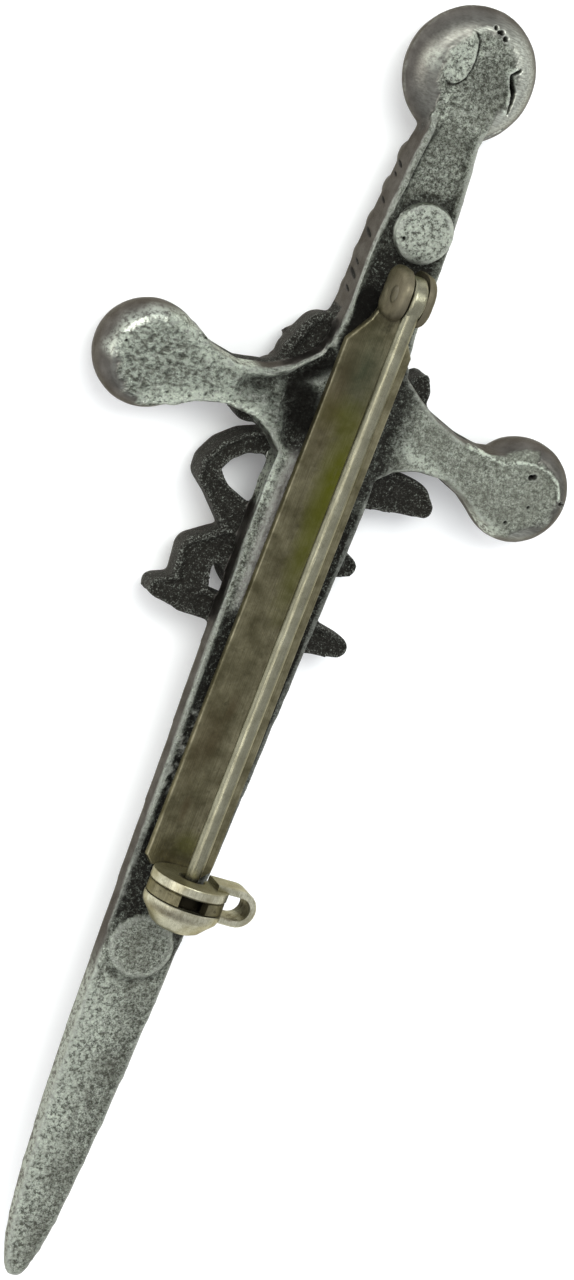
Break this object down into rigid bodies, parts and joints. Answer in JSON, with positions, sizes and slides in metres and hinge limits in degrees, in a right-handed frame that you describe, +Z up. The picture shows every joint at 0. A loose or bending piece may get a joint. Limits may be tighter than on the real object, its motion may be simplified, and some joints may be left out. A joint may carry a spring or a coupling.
{
  "type": "kilt pin",
  "caption": "Sword-shaped kilt pin: a cast metal sword with a rampant lion on its front, and on its back a hinged bar pin with a roll-over safety catch.",
  "frame": {"origin": "centre of the whole object's box, on the surface that it lies on, face down", "axes": "+Y along the sword towards the pommel, +X across it to the right seen from the back, +Z up out of the back"},
  "size_m": [0.0396, 0.102, 0.0132],
  "materials": {
    "pewter": "antiqued pewter, sand-cast back, satin sides, dark in the recesses",
    "tarnished_nickel": "nickel-plated brass, tarnished olive and brown, brushed",
    "rivet_metal": "tarnished, satin",
    "stem_wire": "drawn wire, satin",
    "catch_metal": "nickel-plated brass, tarnished, satin"
  },
  "bodies": {
    "root": {"sword_casting": "pewter", "pin_bar": "tarnished_nickel", "hinge_rivet": "rivet_metal"},
    "pin": {"pin_stem": "stem_wire"},
    "catch": {"safety_catch": "catch_metal"}
  },
  "joints": [
    {"name": "pin_hinge", "type": "hinge", "parent": "root", "child": "pin", "pos_m": [0, 0.0295, 0.00925], "axis": [-1, 0, 0], "range_deg": [0, 100]},
    {"name": "catch_turn", "type": "hinge", "parent": "root", "child": "catch", "pos_m": [0, -0.0178, 0.0102], "axis": [0, -1, 0], "range_deg": [0, 140]}
  ]
}
